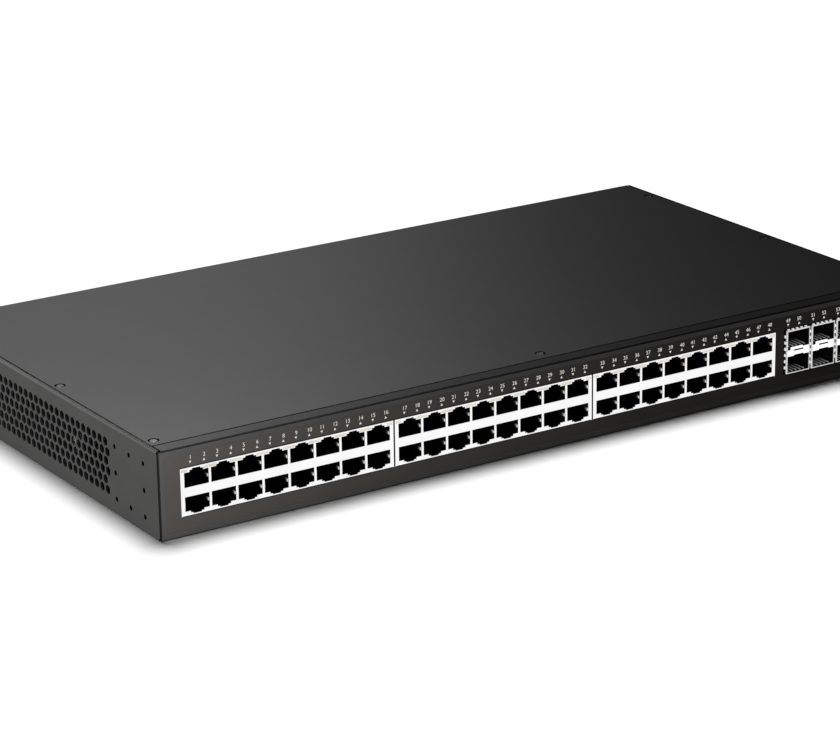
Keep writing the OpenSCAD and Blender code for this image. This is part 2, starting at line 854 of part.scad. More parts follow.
// ---- Side fans ----

module at_fan(n) {
    translate([fan_x, fan_ys[n - 1], fan_z]) rotate([0, 90, 0]) children();
}

// Square frame; its outer end, +Z here, carries the motor on four struts
module fan_frame(n) {
    base_z = fan_t / 2 - 3;
    color(black_plastic) at_fan(n) difference() {
        union() {
            difference() {
                cube([fan_size, fan_size, fan_t], center = true);
                cylinder(h = fan_t + 2, r = fan_bore_r, center = true);
            }
            translate([0, 0, base_z]) cylinder(h = 2.5, r = hub_r);
            for (a = [0 : 3])
                rotate(45 + 90 * a) translate([hub_r - 1, -1.2, base_z])
                    cube([fan_bore_r - hub_r + 2, 2.4, 2.5]);
            translate([0, 0, -5]) cylinder(h = base_z + 6, r = cup_r - 1);
        }
        translate([0, 0, -6]) cylinder(h = 14, r = shaft_bore_r);
        for (x = [-1, 1], y = [-1, 1])
            translate([x * fan_hole, y * fan_hole, -fan_t]) cylinder(h = 2 * fan_t, r = 1.7);
    }
}

// Cup and blades turn on a shaft held in the frame's motor
module fan_rotor(n) {
    tip_r = fan_bore_r - 0.8;
    cup_z0 = -7.5;
    cup_z1 = 5.5;
    color([0.10, 0.10, 0.11]) at_fan(n) {
        difference() {
            translate([0, 0, cup_z0]) cylinder(h = cup_z1 - cup_z0, r = hub_r);
            translate([0, 0, cup_z0 + 1.5]) cylinder(h = cup_z1 - cup_z0, r = cup_r);
        }
        translate([0, 0, cup_z0 + 1]) cylinder(h = 12, r = shaft_r);
        intersection() {
            for (k = [0 : fan_blades - 1])
                rotate(k * 360 / fan_blades) translate([(hub_r + tip_r) / 2, 0, -1])
                    rotate([42, 0, 0]) cube([tip_r, 12, 0.9], center = true);
            difference() {
                translate([0, 0, -9]) cylinder(h = 16, r = tip_r);
                translate([0, 0, -10]) cylinder(h = 18, r = hub_r - 0.4);
            }
        }
    }
}

module fan_screws() {
    color(screw_black) for (y = fan_ys, dy = [-1, 1], dz = [-1, 1])
        translate([right_x, y + dy * fan_hole, fan_z + dz * fan_hole])
            rotate([0, 90, 0]) flat_screw(12);
}

// Each fan's leads run inward, bend and come forward to a plug on the main board
module fan_leads() {
    lead_r = 0.6;
    bend = 6;
    lead_z = board_top + 5;
    fan_side = fan_x - fan_t / 2;
    color([0.6, 0.12, 0.1]) for (n = [0, 1], w = [0, 1]) {
        run_x = fan_side - 14 - 10 * n - 2.2 * w - bend;
        y = fan_ys[n] - 2.2 * w;
        translate([run_x + bend, y, lead_z]) rotate([0, 90, 0])
            cylinder(h = fan_side - run_x - bend, r = lead_r);
        translate([run_x + bend, y - bend, lead_z]) rotate(90)
            rotate_extrude(angle = 90) translate([bend, 0]) circle(lead_r);
        translate([run_x, y - bend, lead_z]) rotate([90, 0, 0]) cylinder(h = y - bend - 5, r = lead_r);
    }
    color([0.9, 0.9, 0.85]) for (n = [0, 1])
        translate([fan_side - 15.1 - 10 * n - bend, 3, board_top + 3.5]) cube([6, 5, 7], center = true);
}

chassis_base();
left_side_wall();
right_side_wall();
front_frame();
faceplate();
front_overlay();
top_cover();
cover_screws();
chassis_rivets();
jack_housing(1);  // jack_housing_1
jack_housing(2);  // jack_housing_2
jack_housing(3);  // jack_housing_3
jack_shield(1);  // jack_shield_1
jack_shield(2);  // jack_shield_2
jack_shield(3);  // jack_shield_3
jack_contacts(1);  // jack_contacts_1
jack_contacts(2);  // jack_contacts_2
jack_contacts(3);  // jack_contacts_3
jack_light_pipes(1);  // jack_light_pipes_1
jack_light_pipes(2);  // jack_light_pipes_2
jack_light_pipes(3);  // jack_light_pipes_3
sfp_cage(1);  // sfp_cage_1
sfp_cage(2);  // sfp_cage_2
sfp_cage(3);  // sfp_cage_3
sfp_spring_collar(1);  // sfp_spring_collar_1
sfp_spring_collar(2);  // sfp_spring_collar_2
sfp_spring_collar(3);  // sfp_spring_collar_3
sfp_divider(1);  // sfp_divider_1
sfp_divider(2);  // sfp_divider_2
sfp_divider(3);  // sfp_divider_3
sfp_connectors();
main_board();
board_standoffs();
board_screws();
switch_chip();
switch_heatsink();
phy_chips();
board_capacitors();
indicator_leds();
status_light_pipes();
reset_switch();
reset_button();
power_board();
power_insulator();
power_transformer();
bulk_capacitor();
power_heatsinks();
line_choke();
output_capacitors();
power_inlet();
inlet_pins();
inlet_screws();
power_harness();
ground_screw();
fan_frame(1);  // fan_frame_1
fan_frame(2);  // fan_frame_2
fan_rotor(1);  // fan_rotor_1
fan_rotor(2);  // fan_rotor_2
fan_screws();
fan_leads();
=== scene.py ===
import json
import math

import bmesh
import bpy
from mathutils import Matrix, Vector


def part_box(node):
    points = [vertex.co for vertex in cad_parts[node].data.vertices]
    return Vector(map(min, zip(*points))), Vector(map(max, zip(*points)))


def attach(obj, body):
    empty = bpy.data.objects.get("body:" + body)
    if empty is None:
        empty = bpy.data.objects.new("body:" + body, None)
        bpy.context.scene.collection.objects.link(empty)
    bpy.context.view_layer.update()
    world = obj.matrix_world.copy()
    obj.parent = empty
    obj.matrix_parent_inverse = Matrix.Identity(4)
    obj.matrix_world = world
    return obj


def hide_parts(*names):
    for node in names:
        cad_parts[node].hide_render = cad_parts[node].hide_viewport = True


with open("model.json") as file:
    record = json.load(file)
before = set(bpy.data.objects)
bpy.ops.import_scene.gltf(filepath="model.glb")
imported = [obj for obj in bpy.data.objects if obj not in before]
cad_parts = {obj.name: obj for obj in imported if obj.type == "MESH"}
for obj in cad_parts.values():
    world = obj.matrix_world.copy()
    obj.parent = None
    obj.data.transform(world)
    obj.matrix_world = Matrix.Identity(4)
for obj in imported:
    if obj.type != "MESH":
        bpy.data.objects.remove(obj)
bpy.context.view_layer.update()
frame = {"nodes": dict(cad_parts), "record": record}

MM = 0.001

# ---- Measures that the CAD source also holds, in metres ----
BLOCKS = (1, 2, 3)
PORTS_IN_ROW = 8
PORT_PITCH = 13.85 * MM
PORT_W = 12.7 * MM
FIRST_COLUMN = 8.275 * MM
LOW_MOUTH = (2.3 * MM, 9.3 * MM)
HIGH_MOUTH = (13.8 * MM, 21.0 * MM)
BAY_FLOORS = (0.3 * MM, 13.65 * MM)
EAR_COLUMNS = (14.5 * MM, 28.3 * MM, 42.1 * MM)
EAR_ROWS = (7.6 * MM, 20.5 * MM, 33.4 * MM)
EAR_HOLE_R = 1.25 * MM
SHEET_T = 1.0 * MM
CAGE_H = 22.5 * MM
COVER_SCREW_X = 213.5 * MM
COVER_SCREW_ROWS = (15.5 * MM, 109 * MM, 214 * MM)
MIDDLE_SCREW_ROW = 16.5 * MM

# ---- Camera ----
CAMERA_AZIMUTH = math.radians(-32.607)
CAMERA_ELEVATION = math.radians(18.657)
CAMERA_ROLL = math.radians(-0.903)
CAMERA_DISTANCE = 1.61774
CAMERA_AIM = Vector((-0.004946, -0.002448, 0.007484))
CAMERA_LENS = 134.708
SENSOR_WIDTH = 36.0

# ---- Lights: place, aim, size in metres and power in watts ----
# The face's key, the panel that the cover mirrors, the left wall's own pair, the pair for the strip
# ahead of the cover's seam, and weak fills for the sides that the photo's view does not show
KEY = ((-0.335, -0.251, 0.150), (-0.14, -0.10, 0.03), (0.25, 0.25), 4.5)
REAR_PANEL = ((0.491, 1.60, 0.908), (0.245, 0.0, 0.04), (0.933, 0.202), 4.2)
WALL_PANEL = ((-0.75, -0.05, 0.10), (-0.22, -0.05, 0.02), (0.5, 0.2), 18.0)
BEND_PANEL = ((-0.50, 0.72, 0.28), (-0.20, 0.0, 0.02), (0.8, 0.5), 2.6)
STRIP_PANEL = ((0.26, 1.60, 0.86), (0.0, 0.0, 0.04), (0.6, 0.2), 6.0)
STRIP_REAR = REAR_PANEL[:3] + (1.7,)
TOP_PANEL = ((0.0, 0.0, 1.05), (0.0, 0.0, 0.0), (0.5, 0.5), 0.6)
REAR_FILL = ((0.10, 0.90, 0.35), (0.0, 0.12, 0.02), (0.9, 0.4), 7.0)
RIGHT_FILL = ((0.90, 0.05, 0.30), (0.22, 0.0, 0.02), (0.5, 0.4), 5.0)
# Wide, even lights: the direction that they come from, their spread and their strength
FLOOR_LIGHT = ((0.16, 0.24, 1.0), math.radians(27), 3.75)
FRONT_LIGHT = ((-0.35, -0.85, 0.40), math.radians(40), 4.35)
GLOW = 0.018

# ---- Printing: the marks stand a little to the right of each pair's middle ----
PRINT_RAISE = 0.02 * MM
PRINT_T = 0.04 * MM
DIGIT_SIZE = 2.75 * MM
DIGIT_Z = 37.45 * MM
ARROW_Z = 35.15 * MM
ARROW_W = 1.35 * MM
ARROW_H = 1.2 * MM
PORT_DIGIT_X = (-2.8 * MM, 4.3 * MM)
PORT_ARROW_X = (-3.05 * MM, 4.05 * MM)
BAY_MARK_X = (-5.5 * MM, 1.6 * MM)


# ---- Mesh helpers ----

def mesh_object(name, bm):
    """Turns a bmesh into a flat-shaded object linked to the scene."""
    bmesh.ops.recalc_face_normals(bm, faces=bm.faces)
    mesh = bpy.data.meshes.new(name)
    bm.to_mesh(mesh)
    bm.free()
    for face in mesh.polygons:
        face.use_smooth = False
    obj = bpy.data.objects.new(name, mesh)
    bpy.context.scene.collection.objects.link(obj)
    return obj


def prism(bm, outline, low, high, place):
    """Extrudes a closed outline of (u, v) from low to high; place(u, v, w) gives the point."""
    bottom = [bm.verts.new(place(u, v, low)) for u, v in outline]
    top = [bm.verts.new(place(u, v, high)) for u, v in outline]
    bm.faces.new(bottom)
    bm.faces.new(list(reversed(top)))
    for k, vert in enumerate(bottom):
        after = (k + 1) % len(bottom)
        bm.faces.new((vert, top[k], top[after], bottom[after]))


def strip_outline(points, thickness):
    """Closed outline of a bent strip whose middle line runs through the points."""
    left, right = [], []
    for k, point in enumerate(points):
        before = points[max(k - 1, 0)]
        after = points[min(k + 1, len(points) - 1)]
        along = Vector((after[0] - before[0], after[1] - before[1])).normalized()
        side = Vector((-along.y, along.x)) * thickness / 2
        left.append((point[0] + side.x, point[1] + side.y))
        right.append((point[0] - side.x, point[1] - side.y))
    return left + right[::-1]


def arc(points, steps=5):
    """Runs a smooth curve (Catmull-Rom) through the points."""
    smooth = []
    for k in range(len(points) - 1):
        p0 = Vector(points[max(k - 1, 0)])
        p1 = Vector(points[k])
        p2 = Vector(points[k + 1])
        p3 = Vector(points[min(k + 2, len(points) - 1)])
        for s in range(steps):
            t = s / steps
            smooth.append(tuple(0.5 * ((2 * p1) + (p2 - p0) * t + (2 * p0 - 5 * p1 + 4 * p2 - p3) * t * t
                                       + (3 * p1 - p0 - 3 * p2 + p3) * t ** 3)))
    smooth.append(tuple(points[-1]))
    return smooth


# ---- Materials ----

def add(tree, kind, inputs=None, **settings):
    """Adds one node; an input's value may be a number, a colour or another node's output."""
    made = tree.nodes.new(kind)
    for key, value in settings.items():
        setattr(made, key, value)
    for key, value in (inputs or {}).items():
        if isinstance(value, bpy.types.NodeSocket):
            tree.links.new(value, made.inputs[key])
        else:
            made.inputs[key].default_value = value
    return made


def noise(tree, scale, detail=3.0, stretch=(1, 1, 1), roughness=0.55):
    """Noise in the part's own frame, whose features are about 1/scale metres across."""
    place = add(tree, "ShaderNodeTexCoord").outputs["Object"]
    moved = add(tree, "ShaderNodeMapping", {"Vector": place, "Scale": stretch}).outputs["Vector"]
    return add(tree, "ShaderNodeTexNoise", {"Vector": moved, "Scale": scale, "Detail": detail,
                                            "Roughness": roughness}).outputs["Fac"]


def spread(tree, value, low, high, from_low=0.35, from_high=0.65):
    """Maps a noise value to low..high."""
    return add(tree, "ShaderNodeMapRange", {"Value": value, "From Min": from_low, "From Max": from_high,
                                            "To Min": low, "To Max": high}).outputs["Result"]


def tinted(tree, colour, dark, factor):
    """Mixes the colour with a darker or lighter copy of itself."""
    def rgba(scale):
        return tuple(c * scale for c in colour) + (1.0,)
    return add(tree, "ShaderNodeMix", {"Factor": factor, "A": rgba(dark), "B": rgba(2 - dark)},
               data_type="RGBA").outputs["Result"]


def edge_mask(tree, radius):
    """Near 1 along sharp edges, 0 on flats."""
    rounded = add(tree, "ShaderNodeBevel", {"Radius": radius}, samples=4).outputs["Normal"]
    true = add(tree, "ShaderNodeNewGeometry").outputs["True Normal"]
    same = add(tree, "ShaderNodeVectorMath", {0: rounded, 1: true}, operation="DOT_PRODUCT")
    return add(tree, "ShaderNodeMapRange", {"Value": same.outputs["Value"], "From Min": 0.995, "From Max": 0.8,
                                            "To Min": 0.0, "To Max": 1.0}).outputs["Result"]


# Painted shade: the black, and the share of gloss kept, where a surface is faded to stand for shade
SHADE_BLACK = (0.004, 0.004, 0.004, 1.0)
SHADE_GLOSS = 0.05
EDGE_R = 0.35 * MM


def finish_material(name, colour, rough=(0.4, 0.5), metallic=0.0, grain=2500, bump=0.02 * MM,
                    cloud=60, dark=0.94, edge=0.0, edge_colour=(0.3, 0.3, 0.3), stretch=(1, 1, 1),
                    painted_shade=(), **principled):
    """A surface with fine grain, slow clouding of its tone and gloss, and edges lightened partly as wear and
    partly as a painted highlight.

    Its list of fades paints shade: the surface turns black along each, given as (axis, where the fade starts,
    where it ends).
    """
    made = bpy.data.materials.new(name)
    made.use_nodes = True
    tree = made.node_tree
    tree.nodes.clear()
    fine = noise(tree, grain, stretch=stretch)
    slow = noise(tree, cloud, 4.0)
    base = tinted(tree, colour, dark, spread(tree, slow, 0.0, 1.0))
    # Edges turn towards edge_colour: partly wear, partly a painted highlight along bends and edges
    if edge:
        wear_and_highlight = add(tree, "ShaderNodeMath", {0: edge_mask(tree, EDGE_R), 1: edge}, operation="MULTIPLY")
        base = add(tree, "ShaderNodeMix", {"Factor": wear_and_highlight.outputs["Value"], "A": base,
                                           "B": tuple(edge_colour) + (1.0,)},
                   data_type="RGBA").outputs["Result"]
    # Painted shade: along each fade the colour goes to black and the gloss drops
    if painted_shade:
        place = add(tree, "ShaderNodeTexCoord").outputs["Object"]
        along = add(tree, "ShaderNodeSeparateXYZ", {"Vector": place}).outputs
        shade_amount = 0.0
        for axis, start, end in painted_shade:
            here = spread(tree, along[axis], 0.0, 1.0, start, end)
            highest = add(tree, "ShaderNodeMath", {0: here, 1: shade_amount}, operation="MAXIMUM")
            shade_amount = highest.outputs["Value"]
        base = add(tree, "ShaderNodeMix", {"Factor": shade_amount, "A": base, "B": SHADE_BLACK},
                   data_type="RGBA").outputs["Result"]
        gloss = principled.get("Specular_IOR_Level", 0.5)
        principled["Specular_IOR_Level"] = spread(tree, shade_amount, gloss, SHADE_GLOSS * gloss, 0.0, 1.0)
    normal = add(tree, "ShaderNodeBump", {"Height": fine, "Distance": bump, "Strength": 1.0})
    inputs = {"Base Color": base, "Roughness": spread(tree, fine, rough[0], rough[1]),
              "Metallic": metallic, "Normal": normal.outputs["Normal"]}
    inputs.update({key.replace("_", " "): value for key, value in principled.items()})
    shader = add(tree, "ShaderNodeBsdfPrincipled", inputs).outputs["BSDF"]
    add(tree, "ShaderNodeOutputMaterial", {"Surface": shader})
    return made


for imported in list(bpy.data.materials):
    bpy.data.materials.remove(imported)

MATERIALS = {
    "case_paint": finish_material("case_paint", (0.0121, 0.0120, 0.0118), (0.46, 0.51), grain=2200,
                                  bump=0.02 * MM, edge=0.2, edge_colour=(0.03, 0.03, 0.03)),
    "face_paint": finish_material("face_paint", (0.0163, 0.0159, 0.0152), (0.36, 0.40), grain=3000,
                                  bump=0.010 * MM, edge=0.4, edge_colour=(0.04, 0.04, 0.04),
                                  Specular_IOR_Level=0.75),
    "overlay_film": finish_material("overlay_film", (0.0195, 0.0174, 0.0160), (0.58, 0.62), grain=4000,
                                    bump=0.006 * MM, dark=0.97, Specular_IOR_Level=0.125),
    "bright_steel": finish_material("bright_steel", (0.93, 0.93, 0.935), (0.36, 0.46), 0.25, grain=700,
                                    bump=0.003 * MM, stretch=(1, 1, 9), dark=0.97),
    "screw_black": finish_material("screw_black", (0.016, 0.016, 0.016), (0.34, 0.44), 0.3, grain=3000,
                                   bump=0.01 * MM, edge=0.7, edge_colour=(0.10, 0.10, 0.10)),
    "screw_head": finish_material("screw_head", (0.035, 0.035, 0.035), (0.34, 0.42), 0.3, grain=3000,
                                  bump=0.006 * MM, edge=0.5, edge_colour=(0.2, 0.2, 0.2)),
    "zinc": finish_material("zinc", (0.62, 0.63, 0.65), (0.3, 0.5), 1.0, grain=500, bump=0.006 * MM),
    "black_plastic": finish_material("black_plastic", (0.006, 0.006, 0.006), (0.5, 0.62), grain=2500,
                                     bump=0.01 * MM),
    "white_plastic": finish_material("white_plastic", (0.90, 0.90, 0.89), (0.35, 0.45), grain=2500,
                                     bump=0.006 * MM, dark=0.98),
    "light_pipe": finish_material("light_pipe", (0.60, 0.565, 0.485), (0.25, 0.35), grain=1800,
                                  bump=0.004 * MM, IOR=1.49, Subsurface_Weight=0.2,
                                  Subsurface_Scale=0.5 * MM),
    "print_white": finish_material("print_white", (0.54, 0.54, 0.52), (0.5, 0.6), grain=2500,
                                   bump=0.001 * MM, dark=0.98),
    "contact_gold": finish_material("contact_gold", (0.83, 0.60, 0.26), (0.2, 0.3), 1.0, grain=1500,
                                    bump=0.002 * MM),
    "board": finish_material("board", (0.012, 0.10, 0.045), (0.3, 0.45), grain=900, bump=0.02 * MM),
    "power_board": finish_material("power_board", (0.36, 0.24, 0.09), (0.45, 0.6), grain=900,
                                   bump=0.01 * MM),
    "chip": finish_material("chip", (0.015, 0.015, 0.016), (0.5, 0.6), grain=3000, bump=0.006 * MM),
    "heatsink": finish_material("heatsink", (0.55, 0.56, 0.58), (0.35, 0.5), 1.0, grain=900,
                                bump=0.01 * MM, stretch=(1, 8, 1)),
    "can": finish_material("can", (0.05, 0.06, 0.09), (0.25, 0.35), grain=900, bump=0.004 * MM),
    "transformer": finish_material("transformer", (0.10, 0.08, 0.04), (0.4, 0.6), grain=500,
                                   bump=0.03 * MM),
    "copper": finish_material("copper", (0.70, 0.30, 0.12), (0.25, 0.4), 1.0, grain=600, bump=0.02 * MM),
    "insulator": finish_material("insulator", (0.75, 0.74, 0.66), (0.4, 0.5), grain=700,
                                 bump=0.01 * MM),
    "wire": finish_material("wire", (0.55, 0.04, 0.03), (0.35, 0.45), grain=1500, bump=0.01 * MM),
    "brass_screw": finish_material("brass_screw", (0.75, 0.62, 0.32), (0.22, 0.34), 1.0, grain=900,
                                   bump=0.004 * MM),
}

for subpart in frame["record"]["subparts"]:
    mesh = frame["nodes"][subpart["node"]].data
    mesh.materials.clear()
    mesh.materials.append(MATERIALS[subpart["material_slot"]])


STEEL = dict(colour=(0.93, 0.93, 0.935), rough=(0.36, 0.46), metallic=0.25, grain=700, bump=0.003 * MM,
             stretch=(1, 1, 9), dark=0.97)
PAINT = dict(colour=(0.0121, 0.0120, 0.0118), rough=(0.46, 0.51), metallic=0.0, grain=2200,
             stretch=(1, 1, 1), bump=0.02 * MM, dark=0.94)
FACE_PAINT = dict(colour=(0.0163, 0.0159, 0.0152), rough=(0.36, 0.40), metallic=0.0, grain=3000,
                  stretch=(1, 1, 1), bump=0.010 * MM, dark=0.94, Specular_IOR_Level=0.75)


def with_painted_shade(nodes, name, fades, finish=STEEL, **changes):
    """Gives the nodes a finish that fades to black as painted shade; each fade is (axis, start, end)."""
    MATERIALS[name] = finish_material(name, painted_shade=fades, **{**finish, **changes})
    for node in nodes:
        frame["nodes"][node].data.materials[0] = MATERIALS[name]


def each_block(name):
    """Names of the three like nodes that are numbered by block."""
    return ["%s_%d" % (name, n) for n in BLOCKS]


def fade(axis, origin, start, end):
    """A fade between two distances in mm from a place on an axis."""
    return (axis, origin + start * MM, origin + end * MM)


# Painted shade: behind their front edges the bright metal of the ports and bays fades to black, standing in
# for the shade inside them
face_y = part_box("faceplate")[0].y
shield_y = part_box("jack_shield_1")[0].y
lip_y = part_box("sfp_cage_1")[0].y
with_painted_shade(each_block("jack_shield"), "shield_steel_shaded", [fade("Y", shield_y, 0.20, 0.28)])
with_painted_shade([], "spring_steel_shaded", [fade("Y", shield_y, 0.9, 2.6)], colour=(0.62, 0.60, 0.53))
with_painted_shade(each_block("sfp_spring_collar"), "collar_steel_shaded", [fade("Y", lip_y, 1.9, 2.2)],
      colour=(0.86, 0.86, 0.86))
with_painted_shade(each_block("sfp_cage"), "cage_steel_shaded", [fade("Y", lip_y, 0.10, 0.6)], colour=(0.72, 0.72, 0.72))
with_painted_shade([], "runner_steel_shaded", [fade("Y", lip_y, 1.0, 10.0)], colour=(0.42, 0.42, 0.42))
with_painted_shade(each_block("sfp_divider"), "divider_white_shaded", [fade("Y", lip_y, 0.42, 0.6)],
      colour=(0.88, 0.88, 0.87), metallic=0.0, grain=2500)

# Painted shade: a thin black line runs round the face and down the left wall's front edge, and the seam at the
# cover's front is black, standing in for the shade in these gaps
plate_low, plate_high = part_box("faceplate")
cover_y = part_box("top_cover")[0].y
with_painted_shade(["faceplate"], "face_paint_shaded_edge",
      [fade("Y", face_y, 0.10, 0.25),
       fade("X", plate_low.x, 0.60, 0.45), fade("X", plate_high.x, -0.60, -0.45),
       fade("Z", plate_low.z, 0.45, 0.30), fade("Z", plate_high.z, -0.60, -0.45)], FACE_PAINT)
with_painted_shade(["left_side_wall"], "wall_paint_shaded_front", [fade("Y", face_y, 1.3, 1.0)], PAINT)
with_painted_shade(["front_frame"], "strip_paint_shaded_seam", [fade("Y", cover_y, -1.0, -0.9)], PAINT)
with_painted_shade(["top_cover"], "cover_paint_shaded_seam", [fade("Y", cover_y, 0.35, 0.15)], PAINT)


def piece(obj, slot, finish=None):
    """Puts a new piece on the case, with the finish of its slot or one close to it."""
    obj.data.materials.clear()
    obj.data.materials.append(MATERIALS[finish or slot])
    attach(obj, "case")


# ---- Printed numbers and arrows over the ports ----

print_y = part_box("front_overlay")[0].y - PRINT_RAISE


def column_centres():
    """Middle of each pair of ports along the front: 24 columns of ports, then three cages."""
    for block in BLOCKS:
        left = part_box("jack_shield_%d" % block)[0].x
        for k in range(PORTS_IN_ROW):
            yield left + FIRST_COLUMN + k * PORT_PITCH
    for block in BLOCKS:
        low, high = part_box("sfp_cage_%d" % block)
        yield (low.x + high.x) / 2


def number_mesh(text, x, bm):
    """Adds one printed number, centred over x."""
    curve = bpy.data.curves.new("number", "FONT")
    curve.body = text
    curve.size = DIGIT_SIZE
    curve.align_x = "CENTER"
    curve.align_y = "CENTER"
    curve.extrude = PRINT_T / 2
    curve.resolution_u = 3
    holder = bpy.data.objects.new("number", curve)
    bpy.context.scene.collection.objects.link(holder)
    bpy.context.view_layer.update()
    made = bpy.data.meshes.new_from_object(holder.evaluated_get(bpy.context.evaluated_depsgraph_get()))
    made.transform(Matrix.Translation((x, print_y, DIGIT_Z)) @ Matrix.Rotation(math.pi / 2, 4, "X"))
    bm.from_mesh(made)
    bpy.data.meshes.remove(made)
    bpy.data.objects.remove(holder)
    bpy.data.curves.remove(curve)


numbers = bmesh.new()
arrows = bmesh.new()
for column, centre in enumerate(column_centres()):
    over_ports = column < len(BLOCKS) * PORTS_IN_ROW
    for which, tip in ((0, -1), (1, 1)):
        digit_x = centre + (PORT_DIGIT_X if over_ports else BAY_MARK_X)[which]
        arrow_x = centre + (PORT_ARROW_X if over_ports else BAY_MARK_X)[which]
        number_mesh(str(2 * column + 1 + which), digit_x, numbers)
        base_z = ARROW_Z - tip * ARROW_H / 2
        outline = [(arrow_x - ARROW_W / 2, base_z), (arrow_x + ARROW_W / 2, base_z),
                   (arrow_x, ARROW_Z + tip * ARROW_H / 2)]
        prism(arrows, outline, print_y - PRINT_T / 2, print_y + PRINT_T / 2, lambda u, v, w: (u, w, v))
bmesh.ops.remove_doubles(numbers, verts=numbers.verts, dist=1e-7)
piece(mesh_object("port_numbers", numbers), "white_plastic", "print_white")
piece(mesh_object("port_arrows", arrows), "white_plastic", "print_white")


# ---- Side springs inside the copper ports ----

TAB_H = 1.4 * MM
TAB_T = 0.16 * MM
# Middle line of a tab, as (inward from the wall, back from the face) in mm
TAB_LINE = [(0.10, 0.4), (0.42, 0.7), (0.36, 1.4), (0.20, 2.2), (0.34, 3.0), (0.40, 3.6), (0.25, 4.4),
            (0.12, 5.2)]

for block in BLOCKS:
    low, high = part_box("jack_shield_%d" % block)
    tabs = bmesh.new()
    line = arc([(a * MM, b * MM) for a, b in TAB_LINE], 3)
    outline = strip_outline(line, TAB_T)
    for k in range(PORTS_IN_ROW):
        centre = low.x + FIRST_COLUMN + k * PORT_PITCH
        for mouth in (LOW_MOUTH, HIGH_MOUTH):
            middle = low.z + (mouth[0] + mouth[1]) / 2
            for side in (-1, 1):
                prism(tabs, outline, middle - TAB_H / 2, middle + TAB_H / 2,
                      lambda u, v, w: (centre + side * (PORT_W / 2 - u), low.y + v, w))
    piece(mesh_object("port_springs_%d" % block, tabs), "bright_steel", "spring_steel_shaded")


# ---- Runners on the floors of the optical bays ----

RUNNERS = 5
RUNNER_PITCH = 2.5 * MM
RUNNER_W = 0.35 * MM
# Side view of a runner, as (back from the cage's lip, up from the bay's floor) in mm
RUNNER_LINE = [(1.3, 0.0), (2.2, 0.5), (4.5, 0.35), (8.0, 0.5), (12.0, 0.35), (13.0, 0.0)]

for block in BLOCKS:
    low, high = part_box("sfp_cage_%d" % block)
    middle = (low.x + high.x) / 2
    cage_z = high.z - CAGE_H
    runners = bmesh.new()
    for floor_z in BAY_FLOORS:
        for k in range(RUNNERS):
            x = middle + (k - (RUNNERS - 1) / 2) * RUNNER_PITCH
            outline = [(lip_y + a * MM, cage_z + floor_z + b * MM) for a, b in RUNNER_LINE]
            prism(runners, outline, x - RUNNER_W / 2, x + RUNNER_W / 2, lambda u, v, w: (w, u, v))
    piece(mesh_object("bay_runners_%d" % block, runners), "bright_steel", "runner_steel_shaded")


# ---- Threads in the holes for the rack ears ----

def lathe(bm, outline_at, place, segments=20):
    """Turns a closed outline round an axis.

    outline_at(angle) gives the outline as (radius, along); place(u, v, along) gives the point.
    """
    rings = []
    for k in range(segments):
        angle = 2 * math.pi * k / segments
        rings.append([bm.verts.new(place(radius * math.cos(angle), radius * math.sin(angle), along))
                      for radius, along in outline_at(angle)])
    for k, ring in enumerate(rings):
        after = rings[(k + 1) % segments]
        for n in range(len(ring)):
            m = (n + 1) % len(ring)
            bm.faces.new((ring[n], ring[m], after[m], after[n]))


THREAD_TURNS = 2
THREAD_DEPTH = 0.16 * MM
# The thread stays clear of the sheet's faces and of the hole's wall
FACE_CLEAR = 0.03 * MM
WALL_CLEAR = 0.005 * MM
CREST_R = EAR_HOLE_R - 0.03 * MM
turn = (SHEET_T - 2 * FACE_CLEAR) / THREAD_TURNS
crests = []
for k in range(THREAD_TURNS):
    crests += [(CREST_R, FACE_CLEAR + k * turn),
               (EAR_HOLE_R - THREAD_DEPTH, FACE_CLEAR + (k + 0.5) * turn)]
thread_outline = crests + [(CREST_R, SHEET_T - FACE_CLEAR),
                           (EAR_HOLE_R - WALL_CLEAR, SHEET_T - FACE_CLEAR),
                           (EAR_HOLE_R - WALL_CLEAR, FACE_CLEAR)]
for name, wall_x, inward in (("left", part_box("left_side_wall")[0].x, 1),
                             ("right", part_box("right_side_wall")[1].x, -1)):
    threads = bmesh.new()
    for column, from_front in enumerate(EAR_COLUMNS):
        for row, z in enumerate(EAR_ROWS):
            if (column, row) != (1, 1):
                lathe(threads, lambda angle: thread_outline,
                      lambda u, v, w: (wall_x + inward * w, face_y + from_front + u, z + v))
    # The threads are near black so that the holes read as dark: painted shade
    piece(mesh_object("ear_threads_" + name, threads), "screw_black", "black_plastic")


# ---- Screws of the cover: a dished head with a cross recess, in a countersink lined with black as painted shade ----

CROSS_HALF_W = 0.32 * MM
CROSS_ARM = 1.35 * MM
# Closed outlines as (radius, height from the cover's face) in mm; None is the rim of the cross recess
HEAD_LINE = [(1.3, -1.0), (1.72, -0.60), (1.82, -0.22), (1.72, -0.08), (1.5, -0.04), (None, -0.10),
             (0.22, -0.7), (0.12, -1.0)]
SHADE_RING_LINE = [(1.75, -0.89), (2.66, -0.01), (2.76, -0.01), (1.75, -0.96)]


def head_outline(angle):
    """Outline of a screw's head at one angle, with the cross recess cut out of it."""
    folded = abs((angle + math.pi / 4) % (math.pi / 2) - math.pi / 4)
    rim = min(CROSS_ARM / math.cos(folded), CROSS_HALF_W / max(math.sin(folded), 1e-6))
    return [(rim if radius is None else radius * MM, height * MM) for radius, height in HEAD_LINE]


